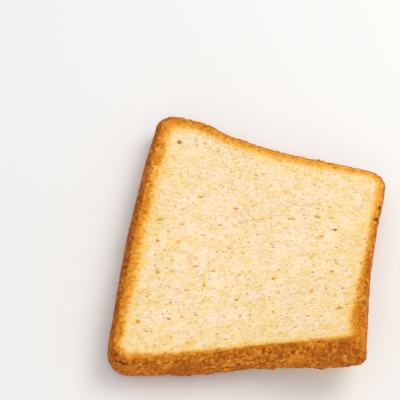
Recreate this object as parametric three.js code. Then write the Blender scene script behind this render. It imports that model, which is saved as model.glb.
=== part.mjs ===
// A slice of tin loaf, lying on one of its two cut faces.
//
// Millimetres, +Z up. The slice was cut across the loaf, so the loaf's own outline is seen in plan:
// the loaf's top (its head) faces -X, the loaf's base faces +X, and the two walls that the tin
// shaped face +Y and -Y. The origin is the middle of the bounding box, on the underside.
// Crust and crumb were baked as one piece, so the slice is one closed solid.

import * as THREE from 'three';

// ---- driving dimensions ----

const loafHeight = 109; // head to base, along X
const headWidth = 130; // across the head, along Y
const baseWidth = 102; // across the base, along Y
const headCornerRadius = 9;
const leftBaseCornerRadius = 10; // at +Y
const rightBaseCornerRadius = 5; // at -Y
const headCrown = 2; // how far the middle of the head stands proud of its corners
const baseHollow = 2.1; // how far the middle of the base pulls in
const baseLean = 0.9; // how far the base's right corner sits in, and its left corner out

// Where the walls pull in as the loaf cools: depth, place from head (0) to base (1), and spread.
const leftWaist = { depth: 4.3, at: 0.5, span: 0.35 }; // the +Y wall
const rightWaist = { depth: 3, at: 0.63, span: 0.24 }; // the -Y wall
const leftShoulder = { depth: -2, at: 0.19, span: 0.1 }; // the +Y wall swells under the head

const thickness = 15; // at the middle of the slice
const wedge = 3.2; // how much thicker the base's right corner is than the head's left corner
const skinBulge = 0.9; // how far the skin swells between the two cut faces
const headLean = 1; // how far the head's skin leans out towards the underside

const curlRadius = 115; // bend of the corner that dried and curled up, on the underside
const curlStart = 12; // from the middle of the loaf to where the bend begins
const curlBearing = -Math.PI / 4; // in plan, towards the base's right corner

// ---- fineness of the mesh ----

const rimPoints = 112; // around the outline
const faceRings = 9; // from the middle of a cut face to its rim
const skinBands = 4; // between the two cut faces

// The loaf's section before the tin's taper: a rectangle with round corners, head at -X.
function plainSection() {
  const x = loafHeight / 2;
  const y = headWidth / 2;
  const head = headCornerRadius;
  const left = leftBaseCornerRadius;
  const right = rightBaseCornerRadius;
  const quarter = Math.PI / 2;
  const section = new THREE.Shape();
  section.moveTo(-x + head, -y);
  section.absarc(x - right, -y + right, right, -quarter, 0);
  section.absarc(x - left, y - left, left, 0, quarter);
  section.absarc(-x + head, y - head, head, quarter, 2 * quarter);
  section.absarc(-x + head, -y + head, head, 2 * quarter, 3 * quarter);
  section.closePath();
  return section;
}

// How far a wall is pulled in, at a place between head (0) and base (1).
function pullAt(along, { depth, at, span }) {
  return depth * Math.exp(-(((along - at) / span) ** 2));
}

// Taper towards the base, the waist in both walls, the crown of the head and the hollow base.
function shapeByTin(point) {
  const along = point.x / loafHeight + 0.5;
  const across = point.y / (headWidth / 2);
  const taper = 1 - along * (1 - baseWidth / headWidth);
  const hollows = across > 0 ? [leftWaist, leftShoulder] : [rightWaist];
  const waist = hollows.reduce((sum, hollow) => sum + pullAt(along, hollow), 0);
  const crown = headCrown * (1 - along) * (1 - across * across);
  const lift = along * (baseHollow * (1 - across * across) - baseLean * across);
  return new THREE.Vector2(point.x - crown - lift, point.y * taper - waist * across);
}

// Thickness of the slice over a point of its underside.
function thicknessAt(point) {
  const towardsBase = point.x / loafHeight;
  const towardsRight = -point.y / headWidth;
  return thickness + wedge * 0.5 * (towardsBase + towardsRight);
}

// Bends a point of the flat slice up over a cylinder whose axis lies across curlBearing.
function curlUp(point) {
  const ux = Math.cos(curlBearing);
  const uy = Math.sin(curlBearing);
  const reach = point.x * ux + point.y * uy;
  const angle = Math.max(0, reach - curlStart) / curlRadius;
  if (angle === 0) return point;
  const bent = curlStart + (curlRadius - point.z) * Math.sin(angle);
  const z = curlRadius - (curlRadius - point.z) * Math.cos(angle);
  return new THREE.Vector3(point.x + (bent - reach) * ux, point.y + (bent - reach) * uy, z);
}

// One closed loop of points at a height from the underside (0) to the upper cut face (1),
// shrunk towards the middle by scale.
function loopAt(outline, level, scale) {
  const bulge = skinBulge * 4 * level * (1 - level);
  return outline.map((point) => {
    const radius = point.length();
    const lean = Math.max(0, -point.x / radius) * headLean * (1 - level);
    const out = (scale * (radius + bulge + lean)) / radius;
    const flat = new THREE.Vector2(point.x * out, point.y * out);
    return curlUp(new THREE.Vector3(flat.x, flat.y, level * thicknessAt(flat)));
  });
}

// Joins loops of equal length into one skin that closes on a single point at each end.
function closedSkin(loops, first, last) {
  const count = loops[0].length;
  const points = [first, ...loops.flat(), last];
  const index = [];
  const at = (loop, i) => 1 + loop * count + (i % count);
  for (let i = 0; i < count; i++) {
    index.push(0, at(0, i + 1), at(0, i));
    for (let loop = 0; loop < loops.length - 1; loop++) {
      const [a, b] = [at(loop, i), at(loop, i + 1)];
      const [c, d] = [at(loop + 1, i), at(loop + 1, i + 1)];
      index.push(a, b, d, a, d, c);
    }
    index.push(at(loops.length - 1, i), at(loops.length - 1, i + 1), points.length - 1);
  }
  const geometry = new THREE.BufferGeometry().setFromPoints(points);
  geometry.setIndex(index);
  return geometry;
}

function sliceGeometry() {
  const outline = plainSection().getSpacedPoints(rimPoints).slice(0, rimPoints).map(shapeByTin);
  const loops = [];
  for (let ring = 1; ring <= faceRings; ring++) loops.push(loopAt(outline, 0, ring / faceRings));
  for (let band = 1; band < skinBands; band++) loops.push(loopAt(outline, band / skinBands, 1));
  for (let ring = faceRings; ring >= 1; ring--) loops.push(loopAt(outline, 1, ring / faceRings));
  const underside = new THREE.Vector3(0, 0, 0);
  const upperside = new THREE.Vector3(0, 0, thickness);
  return closedSkin(loops, underside, upperside);
}

// Puts the origin at the middle of the bounding box, on the underside.
function standOnOrigin(geometry) {
  geometry.computeBoundingBox();
  const box = geometry.boundingBox;
  const middle = box.getCenter(new THREE.Vector3());
  geometry.translate(-middle.x, -middle.y, -box.min.z);
  geometry.computeVertexNormals();
  return geometry;
}

const bakedBread = new THREE.MeshStandardMaterial({
  name: 'bread',
  color: 0xf6dfb4,
  roughness: 0.92,
  metalness: 0,
});

const slice = new THREE.Mesh(standOnOrigin(sliceGeometry()), bakedBread);
slice.name = 'bread_slice';

const tinLoafSlice = new THREE.Group();
tinLoafSlice.name = 'tin_loaf_slice';
tinLoafSlice.add(slice);

export default tinLoafSlice;
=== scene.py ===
import math

import bpy
from mathutils import Matrix, Vector


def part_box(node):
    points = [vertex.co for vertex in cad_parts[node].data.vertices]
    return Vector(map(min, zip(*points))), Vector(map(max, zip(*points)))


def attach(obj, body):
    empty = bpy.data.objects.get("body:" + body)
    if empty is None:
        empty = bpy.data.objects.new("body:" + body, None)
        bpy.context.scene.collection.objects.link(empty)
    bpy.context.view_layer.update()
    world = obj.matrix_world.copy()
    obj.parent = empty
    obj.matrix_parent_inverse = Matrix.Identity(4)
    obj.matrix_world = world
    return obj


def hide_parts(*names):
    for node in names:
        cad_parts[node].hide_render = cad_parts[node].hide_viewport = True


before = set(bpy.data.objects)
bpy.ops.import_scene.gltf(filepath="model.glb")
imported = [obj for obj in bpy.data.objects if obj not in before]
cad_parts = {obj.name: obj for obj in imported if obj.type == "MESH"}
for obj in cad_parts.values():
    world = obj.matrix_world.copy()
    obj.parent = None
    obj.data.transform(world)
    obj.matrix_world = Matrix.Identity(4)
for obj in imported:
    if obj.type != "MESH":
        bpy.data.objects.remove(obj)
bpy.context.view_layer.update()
sliceLow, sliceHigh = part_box("bread_slice")
print("frame loaded")

mm = 0.001
tiny = 1e-6  # keeps a division away from zero

# small helpers for building node trees


class Wire:  # a socket that lays down a Math node when it is used in a sum
    def __init__(self, tree, socket):
        self.tree = tree
        self.socket = socket

    def math(self, operation, *values):  # with no values, the operation is done on the wire itself
        node = self.tree.nodes.new("ShaderNodeMath")
        node.operation = operation
        for socket, value in zip(node.inputs, values or (self,)):
            plug(value, socket)
        return Wire(self.tree, node.outputs[0])

    def __gt__(self, other):
        return self.math("GREATER_THAN", self, other)

    def __lt__(self, other):
        return self.math("LESS_THAN", self, other)

    def __abs__(self):
        return self.math("ABSOLUTE")

    def least(self, other):
        return self.math("MINIMUM", self, other)

    def most(self, other):
        return self.math("MAXIMUM", self, other)

    def squared(self):
        return self.math("MULTIPLY", self, self)

    def root(self):
        return self.math("SQRT")


def addSum(name, operation):  # teaches Wire one sum, with the wire on either side of the sign
    setattr(Wire, f"__{name}__", lambda wire, other: wire.math(operation, wire, other))
    setattr(Wire, f"__r{name}__", lambda wire, other: wire.math(operation, other, wire))


wireSums = {"add": "ADD", "sub": "SUBTRACT", "mul": "MULTIPLY", "truediv": "DIVIDE"}
for sumName, sumOperation in wireSums.items():
    addSum(sumName, sumOperation)


def plug(value, socket):  # links a wire or a socket, or sets a plain value
    if isinstance(value, Wire):
        value.tree.links.new(value.socket, socket)
    elif isinstance(value, bpy.types.NodeSocket):
        socket.id_data.links.new(value, socket)
    else:
        socket.default_value = value


def addNode(tree, kind, inputs=None, **settings):
    node = tree.nodes.new(kind)
    for name, value in settings.items():
        setattr(node, name, value)
    for name, value in (inputs or {}).items():
        plug(value, node.inputs[name])
    return node


def wireFrom(tree, kind, inputs, **settings):  # the node's first output
    return Wire(tree, addNode(tree, kind, inputs, **settings).outputs[0])


def split(tree, vector):
    node = addNode(tree, "ShaderNodeSeparateXYZ", {"Vector": vector})
    return [Wire(tree, socket) for socket in node.outputs]


def join(tree, x, y, z):
    return wireFrom(tree, "ShaderNodeCombineXYZ", {"X": x, "Y": y, "Z": z})


def fade(tree, value, start, end, low=0.0, high=1.0):  # smooth step, either way round
    inputs = {"Value": value, "From Min": start, "From Max": end, "To Min": low, "To Max": high}
    return wireFrom(tree, "ShaderNodeMapRange", inputs, interpolation_type="SMOOTHSTEP")


def noise(tree, place, size, detail=2.0, roughness=0.5):  # size is one blotch, in metres
    inputs = {"Vector": place, "Scale": 1 / size, "Detail": detail, "Roughness": roughness}
    return wireFrom(tree, "ShaderNodeTexNoise", inputs)


def bell(distance):  # 1 at no distance, falling to 0 on both sides
    return (distance.squared() * -1.0).math("EXPONENT")


def openTree(name, sizes):  # a Geometry Nodes tree with one named input for each size
    tree = bpy.data.node_groups.new(name, "GeometryNodeTree")
    tree.interface.new_socket("Geometry", in_out="INPUT", socket_type="NodeSocketGeometry")
    for label, value in sizes.items():
        kind = "NodeSocketInt" if isinstance(value, int) else "NodeSocketFloat"
        socket = tree.interface.new_socket(label, in_out="INPUT", socket_type=kind)
        socket.default_value = value
    tree.interface.new_socket("Material", in_out="INPUT", socket_type="NodeSocketMaterial")
    tree.interface.new_socket("Geometry", in_out="OUTPUT", socket_type="NodeSocketGeometry")
    start = tree.nodes.new("NodeGroupInput")
    return tree, {socket.name: Wire(tree, socket) for socket in start.outputs if socket.name}


def closeTree(tree, geometry, material):
    solid = addNode(tree, "GeometryNodeRealizeInstances", {"Geometry": geometry}).outputs[0]
    painted = addNode(tree, "GeometryNodeSetMaterial", {"Geometry": solid, "Material": material})
    end = tree.nodes.new("NodeGroupOutput")
    tree.links.new(painted.outputs[0], end.inputs[0])


def addModifier(piece, tree, sizes, material):
    modifier = piece.modifiers.new(tree.name, "NODES")
    modifier.node_group = tree
    for item in tree.interface.items_tree:
        if item.in_out == "INPUT" and item.name in sizes:
            modifier[item.identifier] = sizes[item.name]
        if item.in_out == "INPUT" and item.name == "Material":
            modifier[item.identifier] = material


def keep(tree, geometry, name, value, kind="FLOAT"):
    inputs = {"Geometry": geometry, "Name": name, "Value": value}
    return addNode(tree, "GeometryNodeStoreNamedAttribute", inputs, data_type=kind).outputs[0]


def kept(tree, name, kind="FLOAT"):
    node = addNode(tree, "GeometryNodeInputNamedAttribute", {"Name": name}, data_type=kind)
    return Wire(tree, node.outputs["Attribute"])


# the slice: head (the loaf's top) at -X, base at +X, tin walls at +Y and -Y

sliceSizes = {
    "Loaf height": 109 * mm,
    "Head width": 130 * mm,
    "Base width": 102 * mm,
    "Head corner": 9 * mm,
    "Left base corner": 10 * mm,
    "Right base corner": 5 * mm,
    "Head crown": 2 * mm,
    "Base hollow": 2.1 * mm,
    "Base lean": 0.9 * mm,
    "Left waist": 4.3 * mm,
    "Left waist at": 0.50,  # a place from head (0) to base (1), and the spread there
    "Left waist span": 0.35,
    "Right waist": 3 * mm,
    "Right waist at": 0.63,
    "Right waist span": 0.24,
    "Left shoulder": 2 * mm,
    "Left shoulder at": 0.19,
    "Left shoulder span": 0.10,
    "Thickness": 15 * mm,
    "Wedge": 3.2 * mm,
    "Skin bulge": 0.9 * mm,
    "Skin bulge reach": 20 * mm,
    "Head lean": 1 * mm,
    "Curl radius": 115 * mm,
    "Curl start": 12 * mm,
    "Curl bearing": math.radians(-45),
    "Cells along": 184,
    "Cells across": 214,
    "Cells up": 20,
}


def makeShapeTree():
    tree, size = openTree("sliceShape", sliceSizes)
    height, width = size["Loaf height"], size["Head width"]
    block = addNode(tree, "GeometryNodeMeshCube", {
        "Size": join(tree, height, width, 1.0),
        "Vertices X": size["Cells along"],
        "Vertices Y": size["Cells across"],
        "Vertices Z": size["Cells up"],
    })
    x, y, z = split(tree, tree.nodes.new("GeometryNodeInputPosition").outputs[0])
    level = z + 0.5

    def bySide(name):  # the left wall's size at +Y, the right wall's at -Y
        left, right = size["Left " + name], size["Right " + name]
        return right + (left - right) * (y > 0.0)

    # round corners in plan, and the depth under the skin
    corner = size["Head corner"] + (bySide("base corner") - size["Head corner"]) * (x > 0.0)
    straightX, straightY = height / 2 - corner, width / 2 - corner
    overX = (abs(x) - straightX).most(0.0)
    overY = (abs(y) - straightY).most(0.0)
    furthest = overX.most(overY)
    squeeze = furthest / (overX.squared() + overY.squared()).root().most(tiny)
    roundX = x.math("SIGN") * (abs(x).least(straightX) + overX * squeeze)
    roundY = y.math("SIGN") * (abs(y).least(straightY) + overY * squeeze)
    inner = (abs(x) - straightX).most(abs(y) - straightY).least(0.0)
    depth = corner - furthest - inner

    # taper, waists, swell, crown and hollow that the tin and the oven gave it
    along = roundX / height + 0.5
    across = roundY / (width / 2)
    taper = 1.0 - along * (1.0 - size["Base width"] / width)
    waist = bySide("waist") * bell((along - bySide("waist at")) / bySide("waist span"))
    shoulder = bell((along - size["Left shoulder at"]) / size["Left shoulder span"])
    waist = waist - size["Left shoulder"] * shoulder * (y > 0.0)
    crown = size["Head crown"] * (1.0 - along) * (1.0 - across.squared())
    lift = along * (size["Base hollow"] * (1.0 - across.squared()) - size["Base lean"] * across)
    tinX, tinY = roundX - crown - lift, roundY * taper - waist * across

    # bulge of the skin, lean of the head
    radius = (tinX.squared() + tinY.squared()).root().most(tiny)
    bulge = size["Skin bulge"] * 4.0 * level * (1.0 - level)
    lean = (tinX * -1.0 / radius).most(0.0) * size["Head lean"] * (1.0 - level)
    out = 1.0 + (bulge + lean) * fade(tree, depth, size["Skin bulge reach"], 0.0) / radius
    flatX, flatY = tinX * out, tinY * out

    # thickness, then the curl of one corner
    thickness = size["Thickness"] + size["Wedge"] * 0.5 * (flatX / height - flatY / width)
    flatZ = level * thickness
    bearing = size["Curl bearing"]
    ux, uy = bearing.math("COSINE"), bearing.math("SINE")
    reach = flatX * ux + flatY * uy
    angle = (reach - size["Curl start"]).most(0.0) / size["Curl radius"]
    sine, cosine = angle.math("SINE"), angle.math("COSINE")
    arm = size["Curl radius"] - flatZ
    shift = reach.least(size["Curl start"]) + arm * sine - reach
    place = join(tree, flatX + shift * ux, flatY + shift * uy, size["Curl radius"] - arm * cosine)

    onCut = abs(level - 0.5) > 0.499  # the block's first and last layer
    side = (level - 0.5).math("SIGN")
    tilt = sine * side * -1.0
    faceNormal = join(tree, tilt * ux, tilt * uy, cosine * side)
    body = keep(tree, block.outputs["Mesh"], "skinDepth", depth)
    body = keep(tree, body, "level", level)
    body = keep(tree, body, "cutFace", onCut)
    body = keep(tree, body, "faceNormal", faceNormal, "FLOAT_VECTOR")
    body = keep(tree, body, "loafPlace", join(tree, roundX, roundY, flatZ), "FLOAT_VECTOR")
    body = addNode(tree, "GeometryNodeSetPosition", {"Geometry": body, "Position": place}).outputs[0]
    closeTree(tree, body, size["Material"])
    return tree


grainSizes = {  # the crumb's grain and the crust's depth, shared by the relief and the colour
    "Grain stretch": 1.6,
    "Grain bearing": math.radians(7),
    "Grain wander": 7 * mm,
    "Wander size": 24 * mm,
    "Wander detail": 1.0,
    "Head crust right": 5.9 * mm,
    "Head crust left": 7.2 * mm,
    "Base crust right": 6.3 * mm,
    "Base crust left": 3.7 * mm,
    "Crust changes from": -42 * mm,
    "Left crust": 6.5 * mm,
    "Right crust": 4.2 * mm,
    "Side blend": 1.5 * mm,
    "Ends reach": 9 * mm,
    "Ends full": 3.6 * mm,
}


def makeGrainTree():  # where the grain runs, and how deep the crust goes
    tree, size = openTree("crumbGrain", grainSizes)
    place = kept(tree, "loafPlace", "FLOAT_VECTOR")
    x, y, z = split(tree, place)
    wander = {"Vector": place, "Scale": 1 / size["Wander size"], "Detail": size["Wander detail"]}
    drift = addNode(tree, "ShaderNodeTexNoise", wander).outputs["Color"]
    driftX, driftY, _ = split(tree, drift)
    movedX = x + (driftX - 0.5) * size["Grain wander"]
    movedY = y + (driftY - 0.5) * size["Grain wander"]
    stretch, bearing = size["Grain stretch"], size["Grain bearing"]
    cosine, sine = bearing.math("COSINE"), bearing.math("SINE")
    run, side = movedX * cosine + movedY * sine, movedY * cosine - movedX * sine
    alongGrain = join(tree, run / stretch, side, z)
    roundGrain = join(tree, movedX, movedY / stretch, z)

    halfLength, halfWidth = sliceSizes["Loaf height"] / 2, sliceSizes["Head width"] / 2
    toHead, toBase = x + halfLength, halfLength - x
    toWall = halfWidth - abs(y)
    nearEnds = fade(tree, toHead.least(toBase), size["Ends reach"], size["Ends full"])

    def leftwards(name):  # from the right corner's crust depth to the left half's
        right, left = size[name + " right"], size[name + " left"]
        return fade(tree, y, size["Crust changes from"], 0.0, right, left)

    # each side's own crust depth, the nearest side counting most
    headCrust, baseCrust = leftwards("Head crust"), leftwards("Base crust")
    wallCrust = size["Right crust"] + (size["Left crust"] - size["Right crust"]) * (y > 0.0)
    total, weight = 0.0, 0.0
    for distance, crust in ((toHead, headCrust), (toBase, baseCrust), (toWall, wallCrust)):
        share = 1.0 / (distance.most(0.0) + size["Side blend"]).squared()
        total = total + crust * share
        weight = weight + share
    crustDepth = total / weight

    body = Wire(tree, tree.nodes["Group Input"].outputs[0])
    body = keep(tree, body, "alongGrain", alongGrain, "FLOAT_VECTOR")
    body = keep(tree, body, "roundGrain", roundGrain, "FLOAT_VECTOR")
    body = keep(tree, body, "nearEnds", nearEnds)
    body = keep(tree, body, "crustPart", kept(tree, "skinDepth") / crustDepth)
    closeTree(tree, body, size["Material"])
    return tree


# holes in crumb and skin, and the pebbles of the skin

holeKinds = {  # spacing, share of cells with a hole, least and greatest radius
    "big": (5.5 * mm, 0.42, 0.5 * mm, 1.2 * mm),
    "middling": (2.3 * mm, 0.62, 0.35 * mm, 0.80 * mm),
    "small": (1.1 * mm, 0.75, 0.20 * mm, 0.48 * mm),
    "skinPit": (3.4 * mm, 0.40, 0.35 * mm, 0.85 * mm),
}

holeShape = {
    "raggedSize": 0.22,  # as a share of the spacing
    "ragged": 0.35,
    "fullAt": 0.75,  # as a share of the radius, from the edge inwards
    "weakest": 0.45,
}

oddHoles = {  # middle and reach in mm, in the loaf's own coordinates
    "openHole": ((-42.5, 50.0, 14.5), (1.7, 1.5, 3.0)),
    "crumbHole": ((35.0, 19.0, 15.3), (1.2, 1.1, 2.5)),
    "baseSpot": ((53.9, 31.0, 15.5), (2.0, 2.1, 3.0)),
    "baseNick": ((54.3, 40.5, 15.4), (1.0, 1.3, 3.0)),
    "cornerCrack": ((-48.0, -64.5, 12.2), (4.2, 2.5, 1.1)),
}

oddHoleShape = {
    "raggedSize": 0.9 * mm,
    "ragged": 0.8,
    "edge": 1.0,
    "fullAt": 0.45,
}

pebbleNoise = (1.8 * mm, 5.0, 0.72)  # size of one pebble, detail, roughness


def holes(tree, place, spacing, share, smallest, largest):
    # 1 in the middle of a hole and 0 outside it; only a share of the cells holds one
    inputs = {"Vector": place, "Scale": 1 / spacing}
    cells = addNode(tree, "ShaderNodeTexVoronoi", inputs, voronoi_dimensions="3D")
    picked, wide, strong = split(tree, cells.outputs["Color"])
    radius = (smallest + (largest - smallest) * wide) / spacing
    ragged = (noise(tree, place, spacing * holeShape["raggedSize"]) - 0.5) * holeShape["ragged"]
    inside = 1.0 - (Wire(tree, cells.outputs["Distance"]) + ragged) / radius
    strength = holeShape["weakest"] + (1.0 - holeShape["weakest"]) * strong
    return fade(tree, inside, 0.0, holeShape["fullAt"]) * (picked < share) * strength


def crumbHoles(tree, at, kind):  # holes run with the grain, and along the loaf's two ends
    first = holes(tree, at["alongGrain"], *holeKinds[kind])
    second = holes(tree, at["roundGrain"], *holeKinds[kind])
    return first + (second - first) * at["nearEnds"]


def skinPits(tree, place):
    return holes(tree, place, *holeKinds["skinPit"])


def oddHole(tree, place):  # 1 in the middle of a hole or crack of its own, 0 outside it
    shape = oddHoleShape
    ragged = (noise(tree, place, shape["raggedSize"]) - 0.5) * shape["ragged"]
    parts = split(tree, place)
    deepest = 0.0
    for middle, reach in oddHoles.values():
        away = 0.0
        for part, centre, radius in zip(parts, middle, reach):
            away = away + ((part - centre * mm) / (radius * mm)).squared()
        deepest = fade(tree, away.root() + ragged, shape["edge"], shape["fullAt"]).most(deepest)
    return deepest


def pebbles(tree, place):  # the blistered grain of baked crust, about 0.5 with lows for pits
    return noise(tree, place, *pebbleNoise)


reliefSizes = {  # a swing is the move for noise from 0 to 1; most noise lies between 0.3 and 0.7
    "Big hole depth": 0.9 * mm,
    "Middling hole depth": 0.45 * mm,
    "Odd hole depth": 0.8 * mm,
    "Holes from": 0.3,  # as a share of the crust's depth
    "Holes full": 0.9,
    "Crumb swell swing": 0.60 * mm,
    "Crumb swell size": 15 * mm,
    "Crumb rough swing": 0.32 * mm,
    "Crumb rough size": 1.5 * mm,
    "Rim width": 3.0 * mm,
    "Rim drop": 0.9 * mm,
    "Rim inset": 1.1 * mm,
    "Rim inset from": 0.30,  # from the middle of the skin (0) to a cut face (0.5)
    "Torn rim swing": 5.0 * mm,
    "Torn rim size": 2.2 * mm,
    "Torn rim detail": 3.0,
    "Torn rim roughness": 0.65,
    "Torn rim middle": 0.52,
    "Torn rim width": 1.5 * mm,
    "Torn rim from": 0.32,
    "Skin pebble swing": 1.2 * mm,
    "Skin dent swing": 1.1 * mm,
    "Skin dent size": 10 * mm,
    "Skin dent detail": 1.0,
    "Skin pit depth": 0.5 * mm,
}


def makeReliefTree():
    tree, size = openTree("crumbAndSkinRelief", reliefSizes)
    vectorNames = ("loafPlace", "alongGrain", "roundGrain", "faceNormal")
    numberNames = ("skinDepth", "level", "cutFace", "crustPart", "nearEnds")
    at = {name: kept(tree, name, "FLOAT_VECTOR") for name in vectorNames}
    at |= {name: kept(tree, name) for name in numberNames}
    place, depth, cutFace = at["loafPlace"], at["skinDepth"], at["cutFace"]
    inRim = (1.0 - depth / size["Rim width"]).most(0.0)
    odd = oddHole(tree, place) * size["Odd hole depth"]

    # cut faces: holes, a slow swell and a rim worn round by the knife
    big, middling = [crumbHoles(tree, at, kind) for kind in ("big", "middling")]
    inCrumb = fade(tree, at["crustPart"], size["Holes from"], size["Holes full"])
    hollow = big * size["Big hole depth"] + middling * size["Middling hole depth"]
    swell = (noise(tree, place, size["Crumb swell size"]) - 0.5) * size["Crumb swell swing"]
    rough = noise(tree, at["alongGrain"], size["Crumb rough size"]) - 0.5
    rough = rough * size["Crumb rough swing"]
    cutRelief = swell + rough - hollow * inCrumb - inRim.squared() * size["Rim drop"]
    cutRelief = (cutRelief - odd) * cutFace

    # pebbled skin with dents and pits
    pebble = (pebbles(tree, place) - 0.5) * size["Skin pebble swing"]
    dent = noise(tree, place, size["Skin dent size"], size["Skin dent detail"]) - 0.5
    dent = dent * size["Skin dent swing"]
    skinRelief = pebble + dent - skinPits(tree, place) * size["Skin pit depth"]
    skinRelief = (skinRelief - odd) * (1.0 - cutFace)

    # the knife tears the rim in and out a little, and wears it back
    x, y, z = split(tree, tree.nodes.new("GeometryNodeInputPosition").outputs[0])
    radius = (x.squared() + y.squared()).root().most(tiny)
    offMiddle = abs(at["level"] - 0.5)
    torn = fade(tree, offMiddle, size["Torn rim from"], 0.5)
    torn = torn * fade(tree, depth, size["Torn rim width"], 0.0)
    ragged = noise(tree, place, *[size["Torn rim " + part] for part in ("size", "detail", "roughness")])
    tear = (ragged - size["Torn rim middle"]) * size["Torn rim swing"] * torn
    worn = (offMiddle - size["Rim inset from"]) / (0.5 - size["Rim inset from"])
    tear = tear - worn.most(0.0).squared() * size["Rim inset"] * inRim

    skinNormal = split(tree, tree.nodes.new("GeometryNodeInputNormal").outputs[0])
    cutNormal = split(tree, at["faceNormal"])
    pushX, pushY, pushZ = [s * skinRelief + c * cutRelief for s, c in zip(skinNormal, cutNormal)]
    movedX, movedY = x + pushX + x * tear / radius, y + pushY + y * tear / radius
    moved = join(tree, movedX, movedY, (z + pushZ).most(0.0))

    body = Wire(tree, tree.nodes["Group Input"].outputs[0])
    body = addNode(tree, "GeometryNodeSetPosition", {"Geometry": body, "Position": moved}).outputs[0]
    smooth = addNode(tree, "GeometryNodeSetShadeSmooth", {"Geometry": body}).outputs[0]
    closeTree(tree, smooth, size["Material"])
    return tree


def makeSlice(material):
    blank = bpy.data.objects.new("sliceSeed", bpy.data.meshes.new("sliceSeed"))
    bpy.context.scene.collection.objects.link(blank)
    addModifier(blank, makeShapeTree(), sliceSizes, material)
    addModifier(blank, makeGrainTree(), grainSizes, material)
    addModifier(blank, makeReliefTree(), reliefSizes, material)
    graph = bpy.context.evaluated_depsgraph_get()
    graph.update()
    mesh = bpy.data.meshes.new_from_object(blank.evaluated_get(graph))
    mesh.name = "breadSlice"
    bpy.data.objects.remove(blank)
    piece = bpy.data.objects.new("breadSlice", mesh)
    bpy.context.scene.collection.objects.link(piece)
    low = Vector([min(v.co[i] for v in mesh.vertices) for i in range(3)])
    high = Vector([max(v.co[i] for v in mesh.vertices) for i in range(3)])
    shift = (sliceLow + sliceHigh - low - high) / 2
    mesh.transform(Matrix.Translation((shift.x, shift.y, 0)))
    print("slice made:", len(mesh.polygons), "faces, box", [round(v / mm, 1) for v in high - low])
    return piece


breadLook = {
    "crumb": (0.975, 0.76, 0.44),
    "crumbPink": (0.985, 0.80, 0.60),
    "crumbYellow": (0.94, 0.65, 0.21),
    "holeEdge": (0.89, 0.57, 0.14),
    # painted shade for the floors of the pores and the fine cells
    "poreShade": (0.50, 0.28, 0.035),
    # painted shade, the olive tint of the crumb's fine mottled shading
    "paintedCellShade": (0.74, 0.49, 0.13),
    "fleck": (0.84, 0.43, 0.075),
    # painted shade in the odd holes and the crack, and the real brown of the odd spot
    "oddHole": (0.40, 0.14, 0.020),
    "crustRim": (0.60, 0.185, 0.009),
    "crustOrange": (0.72, 0.240, 0.011),
    "crustAmber": (0.76, 0.275, 0.018),
    "crustGold": (0.87, 0.40, 0.050),
    "crustYellow": (0.94, 0.57, 0.15),
    "crustPale": (0.95, 0.46, 0.05),
    "headTint": (0.64, 0.54, 0.66),
    # dark specks in the crust, and painted shade in the skin's deepest hollows
    "grit": (0.24, 0.048, 0.005),
    "skin": (0.66, 0.190, 0.009),
    # paler skin for blotches, and painted light on the upper slopes of the blisters
    "skinPale": (0.90, 0.33, 0.020),
    # darker skin for mottles and blotches, and painted shade in the hollows and low down
    "skinDark": (0.38, 0.080, 0.007),
    # pale scuffs along the lower edge, and painted highlights on the tops of the blisters
    "scuffAndHighlight": (0.96, 0.55, 0.19),
    # painted shade in the skin's pits and where the odd holes and the crack open on the skin
    "pit": (0.12, 0.026, 0.004),
}

crustStops = (  # from the skin inwards
    (0.0, "crustRim"),
    (0.12, "crustRim"),
    (0.32, "crustOrange"),
    (0.58, "crustAmber"),
    (0.80, "crustGold"),
    (1.0, "crustYellow"),
)

# the ramp paints shade into the low parts of the skin and highlights onto the tops of the blisters
skinStops = (  # from the pits to the tops of the blisters
    (0.35, "grit"),
    (0.43, "skinDark"),
    (0.50, "skin"),
    (0.58, "skinPale"),
    (0.68, "scuffAndHighlight"),
)

breadNoises = {  # size of one blotch, detail, roughness
    "patches": (8 * mm, 4.0, 0.65),
    "strands": (2.4 * mm, 5.0, 0.75),
    "patchy": (5 * mm, 3.0, 0.6),
    "stains": (4.5 * mm, 3.0, 0.6),
    "density": (24 * mm, 2.0, 0.5),
    "cells": (0.8 * mm, 3.0, 0.7),
    "paintedCellShade": (2.0 * mm, 4.0, 0.75),
    "crustEdge": (4 * mm, 4.0, 0.65),
    "crustWave": (17 * mm, 1.0, 0.5),
    "crumbly": (1.6 * mm, 4.0, 0.75),
    "uneven": (5 * mm, 4.0, 0.7),
    "mottle": (6 * mm, 5.0, 0.7),
    "blotch": (13 * mm, 3.0, 0.55),
    "frayed": (2.6 * mm, 3.0, 0.5),
    "fine": (0.8 * mm, 3.0, 0.65),
}

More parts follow.
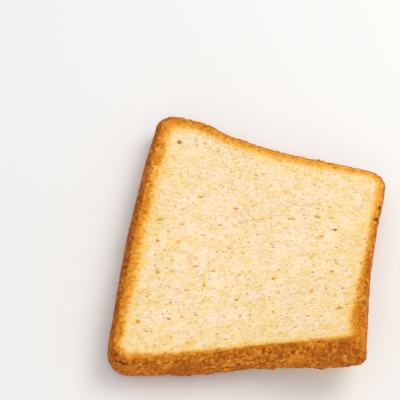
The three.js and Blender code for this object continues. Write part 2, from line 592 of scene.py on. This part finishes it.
breadRanges = {  # the value where it starts and where it is full, and its strength at both
    "patches": (0.42, 0.60, 0.0, 1.0),
    "strands": (0.47, 0.66, 0.0, 0.80),
    "patchy": (0.46, 0.62, 0.15, 0.75),
    "nearCrust": (22 * mm, 2 * mm, 0.0, 1.15),
    "stains": (0.60, 0.72, 0.0, 0.60),
    "density": (0.35, 0.65, 0.65, 1.15),
    "holeEdge": (0.0, 0.4, 0.0, 0.55),
    "smallDeep": (0.10, 0.8, 0.0, 0.62),
    "middlingDeep": (0.10, 0.85, 0.0, 0.80),
    "cells": (0.49, 0.75, 0.0, 0.50),
    "paintedCellShade": (0.46, 0.66, 0.0, 0.34),
    "bigHalo": (0.0, 0.15, 0.0, 0.55),
    "bigEdge": (0.1, 0.5, 0.0, 0.85),
    "bigFloor": (0.45, 0.9, 0.0, 0.60),
    "atHead": (-44 * mm, -53 * mm, 0.0, 1.0),
    "towardsBase": (-45 * mm, 15 * mm, 0.0, 0.55),
    "towardsLeft": (-5 * mm, 45 * mm, 0.0, 1.0),
    "underRim": (0.0, 0.35, 0.0, 1.0),
    "crustToCrumb": (0.80, 1.40, 0.0, 1.0),
    "unevenPale": (0.52, 0.68, 0.0, 0.50),
    "unevenDark": (0.48, 0.34, 0.0, 0.60),
    "toasted": (0.26, 0.0, 0.0, 0.85),
    "crustPits": (0.45, 0.36, 0.0, 0.65),
    "crustSpecks": (0.45, 0.37, 0.0, 0.80),
    "paleCrumbs": (0.56, 0.66, 0.0, 0.55),
    "inCrust": (1.1, 0.3, 0.0, 1.0),
    "mottle": (0.46, 0.60, 0.0, 0.55),
    "darkBlotch": (0.49, 0.37, 0.0, 0.65),
    "paleBlotch": (0.52, 0.66, 0.0, 0.50),
    # painted shade low on the skin
    "paintedLowShade": (0.65, 0.0, 0.0, 0.35),
    "lowEdge": (0.14, 0.0, 0.0, 1.0),
    "frayed": (0.52, 0.64, 0.0, 0.65),
    "roughness": (0.0, 0.8, 0.66, 0.95),
}

breadShares = {  # the first four say how far a noise moves the crust's inner edge
    "pebbleGrit": 0.75,
    "crumblyGrit": 0.80,
    "crustEdge": 0.36,
    "crustWave": 0.60,
    "evenSkin": 0.12,
    "headSkin": 0.8,
    "skinPit": 0.75,
    "oddHole": 0.90,
    "gritRoughness": 0.10,
    "holeBump": 0.5,
}

breadSurface = {
    "Specular IOR Level": 0.06,
    "Subsurface Weight": 0.05,
    "Subsurface Radius": (1.0, 0.5, 0.2),
    "Subsurface Scale": 1.0 * mm,
}

breadBump = {"Strength": 0.9, "Distance": 0.3 * mm}


def ramp(tree, value, stops):
    node = addNode(tree, "ShaderNodeValToRGB", {"Fac": value})
    while len(node.color_ramp.elements) < len(stops):
        node.color_ramp.elements.new(0.5)
    for element, (position, name) in zip(node.color_ramp.elements, stops):
        element.position = position
        element.color = (*breadLook[name], 1)
    return node.outputs["Color"]


def blend(tree, factor, first, second, how="MIX"):  # a colour by name, or one made already
    node = tree.nodes.new("ShaderNodeMix")
    node.data_type = "RGBA"
    node.blend_type = how
    plug(factor, node.inputs["Factor"])
    for socket, value in ((node.inputs[6], first), (node.inputs[7], second)):
        plug((*breadLook[value], 1) if isinstance(value, str) else value, socket)
    return node.outputs[2]


def paintOver(tree, colour, layers):  # each layer is how much of it shows, and its colour
    for factor, name in layers:
        colour = blend(tree, factor, colour, name)
    return colour


def spread(tree, value, name):
    return fade(tree, value, *breadRanges[name])


def pattern(tree, place, name):
    return spread(tree, noise(tree, place, *breadNoises[name]), name)


def attribute(tree, name, output="Fac"):
    return Wire(tree, addNode(tree, "ShaderNodeAttribute", attribute_name=name).outputs[output])


def crumbColour(tree, at, hollows):  # pink and yellow patches, then holes with yellow edges
    place, grain = at["loafPlace"], at["alongGrain"]
    big, middling, small = hollows["big"], hollows["middling"], hollows["small"]
    nearCrust = spread(tree, at["skinDepth"], "nearCrust") * pattern(tree, place, "patchy")
    density = pattern(tree, place, "density")
    # painted shade in the small and middling pores and the fine cells, stronger in the dense patches
    deep = spread(tree, small, "smallDeep").most(spread(tree, middling, "middlingDeep"))
    deep = deep.most(pattern(tree, grain, "cells")) * density
    plain = blend(tree, pattern(tree, place, "patches"), "crumbPink", "crumb")
    return paintOver(tree, plain, [
        (pattern(tree, grain, "strands") + nearCrust, "crumbYellow"),
        (pattern(tree, grain, "stains"), "holeEdge"),
        (spread(tree, small.most(middling), "holeEdge"), "holeEdge"),
        (deep, "poreShade"),
        # painted shade mottling the crumb, stronger in the dense patches
        (pattern(tree, grain, "paintedCellShade") * density, "paintedCellShade"),
        (spread(tree, big, "bigHalo"), "crumbYellow"),
        (spread(tree, big, "bigEdge"), "fleck"),
        # painted shade on the floors of the big holes
        (spread(tree, big, "bigFloor"), "poreShade"),
    ])


def crustColour(tree, at, part, pebble, crumbly, atHead):  # by its depth, darkest at the head
    place, crustPart = at["loafPlace"], at["crustPart"]
    x, y, _ = split(tree, place)
    uneven = noise(tree, place, *breadNoises["uneven"])
    farCorner = spread(tree, x, "towardsBase") * spread(tree, y, "towardsLeft")
    toasted = spread(tree, crustPart, "toasted") * atHead
    specks = spread(tree, pebble, "crustPits").most(spread(tree, crumbly, "crustSpecks"))
    crust = paintOver(tree, ramp(tree, part, crustStops), [
        (spread(tree, uneven, "unevenPale"), "crustYellow"),
        (spread(tree, uneven, "unevenDark"), "crustRim"),
        (farCorner, "crustPale"),
    ])
    crust = blend(tree, toasted, crust, "headTint", "MULTIPLY")
    return paintOver(tree, crust, [
        (spread(tree, crumbly, "paleCrumbs"), "crustYellow"),
        (specks * spread(tree, crustPart, "inCrust"), "grit"),
    ])


def skinColour(tree, at, pebble, pit, atHead):  # orange blisters with painted highlights on their tops and painted shade in their pits, and painted shade low down
    place, level = at["loafPlace"], at["level"]
    blotch = noise(tree, place, *breadNoises["blotch"])
    skin = paintOver(tree, ramp(tree, pebble, skinStops), [
        (pattern(tree, place, "mottle"), "skinDark"),
        (spread(tree, blotch, "darkBlotch"), "skinDark"),
        (spread(tree, blotch, "paleBlotch"), "skinPale"),
        # painted shade, the skin darker towards the floor
        (spread(tree, level, "paintedLowShade"), "skinDark"),
        (breadShares["evenSkin"], "skin"),
        (spread(tree, level, "lowEdge") * pattern(tree, place, "frayed"), "scuffAndHighlight"),
    ])
    skin = blend(tree, atHead * breadShares["headSkin"], skin, "headTint", "MULTIPLY")
    # painted shade in the skin's pits
    return blend(tree, pit * breadShares["skinPit"], skin, "pit")


def bakedBread():
    share = breadShares
    material = bpy.data.materials.new("bakedBread")
    material.use_nodes = True
    tree = material.node_tree
    shader = tree.nodes["Principled BSDF"]
    vectorNames = ("loafPlace", "alongGrain", "roundGrain")
    numberNames = ("skinDepth", "level", "cutFace", "crustPart", "nearEnds")
    at = {name: attribute(tree, name, "Vector") for name in vectorNames}
    at |= {name: attribute(tree, name) for name in numberNames}
    place, cutFace, crustPart = at["loafPlace"], at["cutFace"], at["crustPart"]
    hollows = {kind: crumbHoles(tree, at, kind) for kind in ("big", "middling", "small")}
    pebble, pit = pebbles(tree, place), skinPits(tree, place)
    noiseNames = ("crumbly", "crustEdge", "crustWave")
    crumbly, edge, wave = [noise(tree, place, *breadNoises[name]) for name in noiseNames]

    # how far into the crust a point of the cut face lies, with a ragged inner edge
    grit = (pebble - 0.5) * share["pebbleGrit"] + (crumbly - 0.5) * share["crumblyGrit"]
    wobble = (edge - 0.5) * share["crustEdge"] + (wave - 0.5) * share["crustWave"]
    part = (crustPart + wobble * spread(tree, crustPart, "underRim") + grit).most(0.0)

    atHead = spread(tree, split(tree, place)[0], "atHead")
    odd = oddHole(tree, place) * share["oddHole"]
    crust = crustColour(tree, at, part, pebble, crumbly, atHead)
    cut = blend(tree, spread(tree, part, "crustToCrumb"), crust, crumbColour(tree, at, hollows))
    # painted shade in the odd holes and the crack on the cut face, and the real brown of the odd spot
    cut = blend(tree, odd, cut, "oddHole")
    # painted shade where the odd holes and the crack open on the skin
    skin = blend(tree, odd, skinColour(tree, at, pebble, pit, atHead), "pit")
    plug(blend(tree, cutFace, skin, cut), shader.inputs["Base Color"])

    rough = spread(tree, part, "roughness") + grit * share["gritRoughness"]
    plug(rough, shader.inputs["Roughness"])
    for name, value in breadSurface.items():
        shader.inputs[name].default_value = value

    fine = noise(tree, at["alongGrain"], *breadNoises["fine"])
    crumbBump = (hollows["small"] + hollows["middling"]) * share["holeBump"] * cutFace
    height = fine - crumbBump + (pebble - pit) * (1.0 - cutFace)
    bump = addNode(tree, "ShaderNodeBump", {**breadBump, "Height": height})
    plug(bump.outputs[0], shader.inputs["Normal"])
    return material


bread = bakedBread()
print("bread material made")
slicePiece = makeSlice(bread)
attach(slicePiece, "root")
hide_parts("bread_slice")

# the stage: floor, lights, camera

studio = {
    "floorSize": 6.0,
    "floorDrop": 0.2 * mm,
    "floorColour": (0.86, 0.85, 0.84),
    "floorRoughness": 0.6,
    "world": 0.72,
}

softboxes = {  # place, power, size and colour
    "keyLight": ((0.45, 0.55, 0.9), 5.6, 0.7, (1.0, 0.98, 0.95)),
    "fillLight": ((-0.1, -1.0, 0.55), 1.4, 0.9, (1.0, 1.0, 1.0)),
}

cameraSetup = {
    "azimuth": math.radians(0.9),
    "elevation": math.radians(58.6),
    "roll": math.radians(9.2),
    "distance": 0.4575,
    "aim": Vector((-27.6, 21.75, 9.85)) * mm,
    "lens": 90.0,
    "nearest": 0.01,
}


def plainPaint(name, colour, roughness):
    material = bpy.data.materials.new(name)
    material.use_nodes = True
    shader = material.node_tree.nodes["Principled BSDF"]
    shader.inputs["Base Color"].default_value = (*colour, 1)
    shader.inputs["Roughness"].default_value = roughness
    return material


def makeFloor():
    half = studio["floorSize"] / 2
    corners = [(-half, -half, 0), (half, -half, 0), (half, half, 0), (-half, half, 0)]
    mesh = bpy.data.meshes.new("floor")
    mesh.from_pydata(corners, [], [(0, 1, 2, 3)])
    mesh.materials.append(plainPaint("paleFloor", studio["floorColour"], studio["floorRoughness"]))
    floor = bpy.data.objects.new("floor", mesh)
    floor.location.z = -studio["floorDrop"]
    bpy.context.scene.collection.objects.link(floor)


def addSoftbox(name, place, power, size, colour):
    lamp = bpy.data.lights.new(name, "AREA")
    lamp.energy = power
    lamp.size = size
    lamp.color = colour
    softbox = bpy.data.objects.new(name, lamp)
    softbox.location = place
    softbox.rotation_euler = (-Vector(place)).to_track_quat("-Z", "Y").to_euler()
    bpy.context.scene.collection.objects.link(softbox)


def makeCamera():
    azimuth, elevation = cameraSetup["azimuth"], cameraSetup["elevation"]
    back = Vector((
        math.sin(azimuth) * math.cos(elevation),
        -math.cos(azimuth) * math.cos(elevation),
        math.sin(elevation),
    ))
    lens = bpy.data.cameras.new("camera")
    lens.lens = cameraSetup["lens"]
    lens.clip_start = cameraSetup["nearest"]
    camera = bpy.data.objects.new("camera", lens)
    camera.location = cameraSetup["aim"] + back * cameraSetup["distance"]
    turn = (-back).to_track_quat("-Z", "Y").to_matrix()
    camera.rotation_euler = (turn @ Matrix.Rotation(cameraSetup["roll"], 3, "Z")).to_euler()
    bpy.context.scene.collection.objects.link(camera)
    bpy.context.scene.camera = camera


def makeWorld():
    world = bpy.data.worlds.new("studio")
    world.use_nodes = True
    sky = world.node_tree.nodes["Background"]
    sky.inputs["Color"].default_value = (1.0, 1.0, 1.0, 1)
    sky.inputs["Strength"].default_value = studio["world"]
    bpy.context.scene.world = world


makeFloor()
for boxName, boxSetup in softboxes.items():
    addSoftbox(boxName, *boxSetup)
makeWorld()
makeCamera()
bpy.context.scene.view_settings.view_transform = "Standard"
print("stage set")
